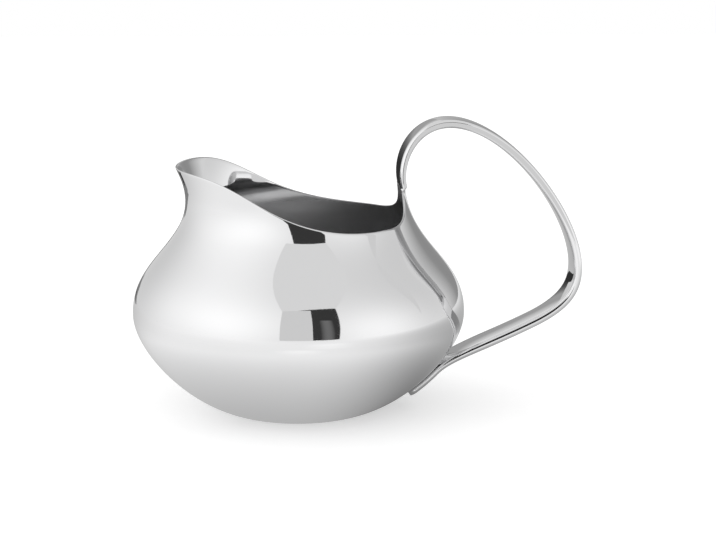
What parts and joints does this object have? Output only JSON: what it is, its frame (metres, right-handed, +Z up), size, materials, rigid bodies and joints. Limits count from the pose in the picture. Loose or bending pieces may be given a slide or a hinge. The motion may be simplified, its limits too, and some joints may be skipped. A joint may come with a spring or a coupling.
{
  "type": "stainless steel jug",
  "caption": "Round-bellied polished steel water jug with a raised pouring lip and a flat-bar loop handle that grows out of the back of the rim and returns under the belly.",
  "frame": {"origin": "centre of the flat base, on the body's axis, at the height of the table", "axes": "+X from the body's axis towards the handle, -X towards the pouring lip, +Z up, XZ is the plane of symmetry"},
  "size_m": [0.2478, 0.183, 0.1622],
  "materials": {
    "polished_steel": "mirror-polished stainless steel",
    "weld_steel": "weld metal ground flush and polished"
  },
  "bodies": {
    "root": {"lower_bowl": "polished_steel", "upper_shell": "polished_steel", "handle": "polished_steel", "girth_weld": "weld_steel", "tongue_weld": "weld_steel", "foot_weld": "weld_steel"}
  },
  "joints": []
}
